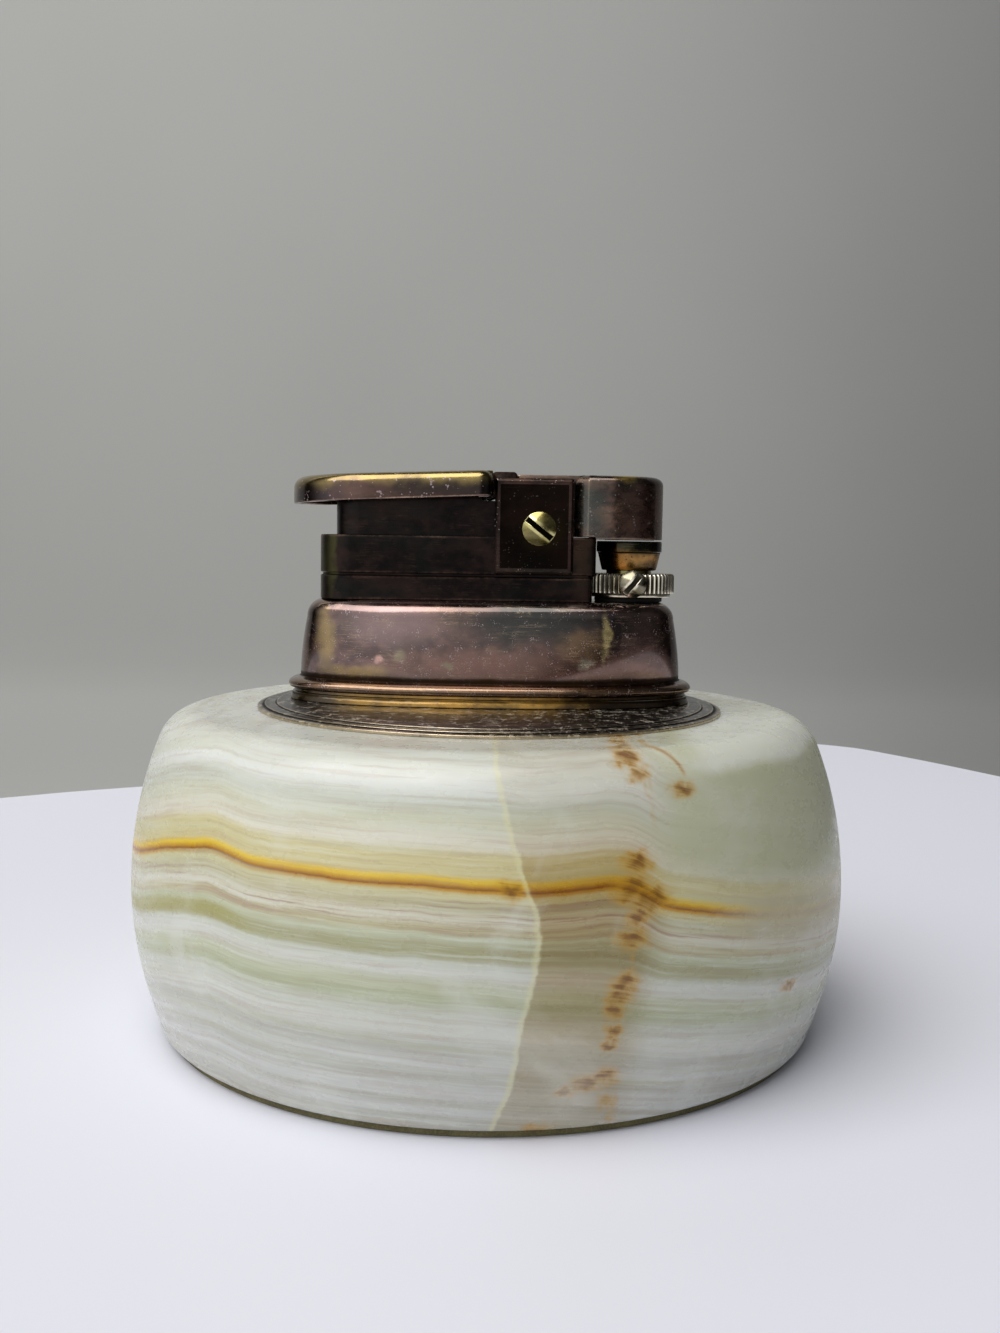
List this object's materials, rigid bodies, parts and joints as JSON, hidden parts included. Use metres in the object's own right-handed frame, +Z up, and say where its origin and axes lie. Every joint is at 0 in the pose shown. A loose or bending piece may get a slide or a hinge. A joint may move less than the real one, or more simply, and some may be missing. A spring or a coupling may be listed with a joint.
{
  "type": "table lighter",
  "caption": "Table lighter: a turned banded-stone base with a drop-in gas movement, thumb lever, lifting hood, spark wheel and flame ring.",
  "frame": {"origin": "centre of the felt's underside, on the table, on the turned stone's axis", "axes": "+Z up along the stone's axis; +X from the thumb pad towards the burner; +Y away from the viewer of the picture, so the screw heads face -Y"},
  "size_m": [0.1, 0.1, 0.077],
  "materials": {
    "onyx": "polished",
    "felt": "matt felt",
    "aged_copper": "tarnished antique copper plating with brass wear",
    "speckled_flange": "dull, finely pitted plating",
    "bright_brass": "worn brass",
    "nickel_brass": "worn nickel over brass",
    "steel": "plain steel",
    "hard_steel": "hardened, dark",
    "spring_steel": "drawn wire",
    "rubber": "matt"
  },
  "bodies": {
    "base": {"stone_base": "onyx", "felt_pad": "felt", "bore_liner": "bright_brass"},
    "insert": {"flange_plate": "speckled_flange", "seat_ring": "aged_copper", "collar": "aged_copper", "tank_shell": "bright_brass", "tank_base": "bright_brass", "tank_top": "bright_brass", "grip_ring": "rubber", "tie_posts": "bright_brass", "frame_plate": "aged_copper", "frame_block": "aged_copper", "frame_screws": "steel", "front_cheek": "aged_copper", "rear_cheek": "aged_copper", "axle_screw": "bright_brass", "axle_spacers": "steel", "hinge_pins": "steel", "flint_tube": "bright_brass", "flint": "hard_steel", "flint_spring": "spring_steel", "flint_screw": "bright_brass", "refill_valve": "bright_brass", "refill_spring": "spring_steel", "valve_body": "bright_brass", "valve_washer": "rubber", "burner_cup": "bright_brass", "jet_spring": "spring_steel", "lever_spring": "spring_steel"},
    "lever": {"thumb_pad": "aged_copper", "thumb_lever": "aged_copper", "pad_screws": "steel", "pawl": "steel"},
    "hood": {"hood": "aged_copper", "hood_arms": "aged_copper", "seal_holder": "bright_brass", "hood_seal": "rubber"},
    "wheel": {"spark_wheel": "hard_steel", "ratchet_wheel": "hard_steel", "wheel_spacer": "steel"},
    "jet": {"burner_jet": "nickel_brass"},
    "ring": {"adjusting_ring": "nickel_brass", "ring_screw": "bright_brass"},
    "refill": {"refill_stem": "steel"}
  },
  "joints": [
    {"name": "insert_lift", "type": "slide", "parent": "base", "child": "insert", "axis": [0, 0, 1], "range_m": [0, 0.045]},
    {"name": "lever_press", "type": "hinge", "parent": "insert", "child": "lever", "pos_m": [0.00655, 0, 0.0693], "axis": [0, -1, 0], "range_deg": [0, 12], "stiffness_Nm_per_rad": 0.3, "springref_deg": -20.05, "deforming": ["lever_spring"]},
    {"name": "hood_open", "type": "hinge", "parent": "insert", "child": "hood", "pos_m": [0.0016, 0, 0.075], "axis": [0, -1, 0], "range_deg": [0, 50]},
    {"name": "wheel_spin", "type": "hinge", "parent": "insert", "child": "wheel", "pos_m": [0.00655, 0, 0.0693], "axis": [0, -1, 0], "range_deg": [0, 12]},
    {"name": "jet_rise", "type": "slide", "parent": "insert", "child": "jet", "axis": [0, 0, 1], "range_m": [0, 0.0008], "deforming": ["jet_spring"]},
    {"name": "ring_turn", "type": "hinge", "parent": "insert", "child": "ring", "pos_m": [0.0196, 0, 0.0619], "axis": [0, 0, 1], "range_deg": [-35, 215]},
    {"name": "refill_press", "type": "slide", "parent": "insert", "child": "refill", "axis": [0, 0, 1], "range_m": [0, 0.0012], "stiffness_N_per_m": 800, "springref_m": -0.002, "deforming": ["refill_spring"]}
  ],
  "couplings": [
    {"joint": "hood_open", "follows": "lever_press", "ratio": 4.1667},
    {"joint": "wheel_spin", "follows": "lever_press", "ratio": 1},
    {"joint": "jet_rise", "follows": "lever_press", "m_per_rad": 0.0038196}
  ]
}
